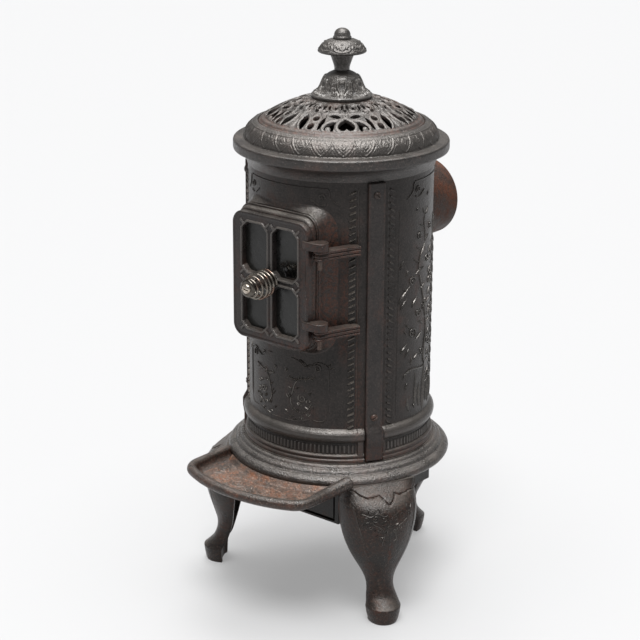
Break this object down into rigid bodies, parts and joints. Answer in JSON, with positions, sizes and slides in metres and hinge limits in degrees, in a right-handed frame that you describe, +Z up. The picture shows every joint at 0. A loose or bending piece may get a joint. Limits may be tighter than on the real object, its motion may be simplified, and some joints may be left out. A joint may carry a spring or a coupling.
{
  "type": "potbelly stove",
  "caption": "Round cast-iron heating stove on cabriole legs with a windowed door, pierced lift-off dome, hearth tray, ash pan and rear flue collar.",
  "frame": {"origin": "centre of the stove's footprint box on the floor; the barrel axis stands 18.5 mm behind it", "axes": "+Z up, the door faces -Y and the flue collar points along +Y, +X to the right seen from the front"},
  "size_m": [0.3372, 0.414, 0.75],
  "materials": {
    "leg_iron": "blackened cast iron, semi-matt, worn brown on the edges",
    "steel": "darkened plain steel",
    "base_iron": "blackened cast iron with a soft polish on the mouldings",
    "tray_iron": "cast iron with an even brown rust bloom",
    "sheet_iron": "dark matt iron",
    "grate_iron": "heat-scaled rusty cast iron",
    "barrel_iron": "blackened cast iron, semi-matt, brown in the recesses",
    "strip_iron": "blackened cast iron, brown at the edges",
    "rusty_screw": "rusted steel",
    "top_iron": "blackened cast iron, lighter where it is rubbed",
    "cover_iron": "sooty matt cast iron",
    "finial_iron": "blackened cast iron, lighter on the raised ornament",
    "door_iron": "blackened cast iron with brown rust at the hinges",
    "mica": "smoked mica, dark and semi-gloss",
    "retainer_iron": "dark matt iron",
    "nickel": "worn nickel plate with coppery spots",
    "flue_iron": "rusty brown cast iron"
  },
  "bodies": {
    "stove": {"leg_right": "leg_iron", "leg_left": "leg_iron", "leg_rear": "leg_iron", "leg_bolts": "steel", "leg_nuts": "steel", "base_plate": "base_iron", "hearth_tray": "tray_iron", "hearth_screws": "steel", "ash_box": "sheet_iron", "box_screws": "steel", "fire_grate": "grate_iron", "front_panel": "barrel_iron", "right_panel": "barrel_iron", "left_panel": "barrel_iron", "seam_strip_right": "strip_iron", "seam_strip_left": "strip_iron", "seam_strip_rear": "strip_iron", "strip_screws": "rusty_screw", "top_rim": "top_iron", "hinge_arm_upper": "door_iron", "hinge_arm_lower": "door_iron", "hinge_screws": "steel", "hinge_pins": "steel", "latch_keeper": "retainer_iron", "flue_collar": "flue_iron", "flue_bolts": "rusty_screw", "tie_rods": "steel", "tie_nuts": "steel"},
    "door": {"door_frame": "door_iron", "mica_panes": "mica", "mica_retainer": "retainer_iron", "mica_screws": "steel"},
    "door_handle": {"handle_washers": "nickel", "handle_spring": "nickel", "handle_stud": "steel", "handle_screw": "nickel", "latch_bar": "retainer_iron", "latch_nut": "steel"},
    "dome_top": {"dome": "top_iron", "finial_bell": "finial_iron", "finial_cup": "finial_iron", "finial_cap": "finial_iron", "finial_bead": "finial_iron", "finial_rod": "steel"},
    "cover": {"inner_cover": "cover_iron"},
    "ash_drawer": {"ash_pan": "sheet_iron", "ash_pan_front": "sheet_iron", "ash_pan_pull": "sheet_iron"}
  },
  "joints": [
    {"name": "door_hinge", "type": "hinge", "parent": "stove", "child": "door", "pos_m": [0.073, -0.1125, 0.449], "axis": [0, 0, 1], "range_deg": [0, 120]},
    {"name": "handle_turn", "type": "hinge", "parent": "door", "child": "door_handle", "pos_m": [0, -0.1235, 0.449], "axis": [0, -1, 0], "range_deg": [0, 90]},
    {"name": "dome_lift", "type": "slide", "parent": "stove", "child": "dome_top", "axis": [0, 0, 1], "range_m": [0, 0.15]},
    {"name": "cover_lift", "type": "slide", "parent": "stove", "child": "cover", "axis": [0, 0, 1], "range_m": [0, 0.075]},
    {"name": "ash_pan_slide", "type": "slide", "parent": "stove", "child": "ash_drawer", "axis": [0, -1, 0], "range_m": [0, 0.16]}
  ],
  "couplings": [
    {"joint": "cover_lift", "follows": "dome_lift", "ratio": 0.5}
  ]
}
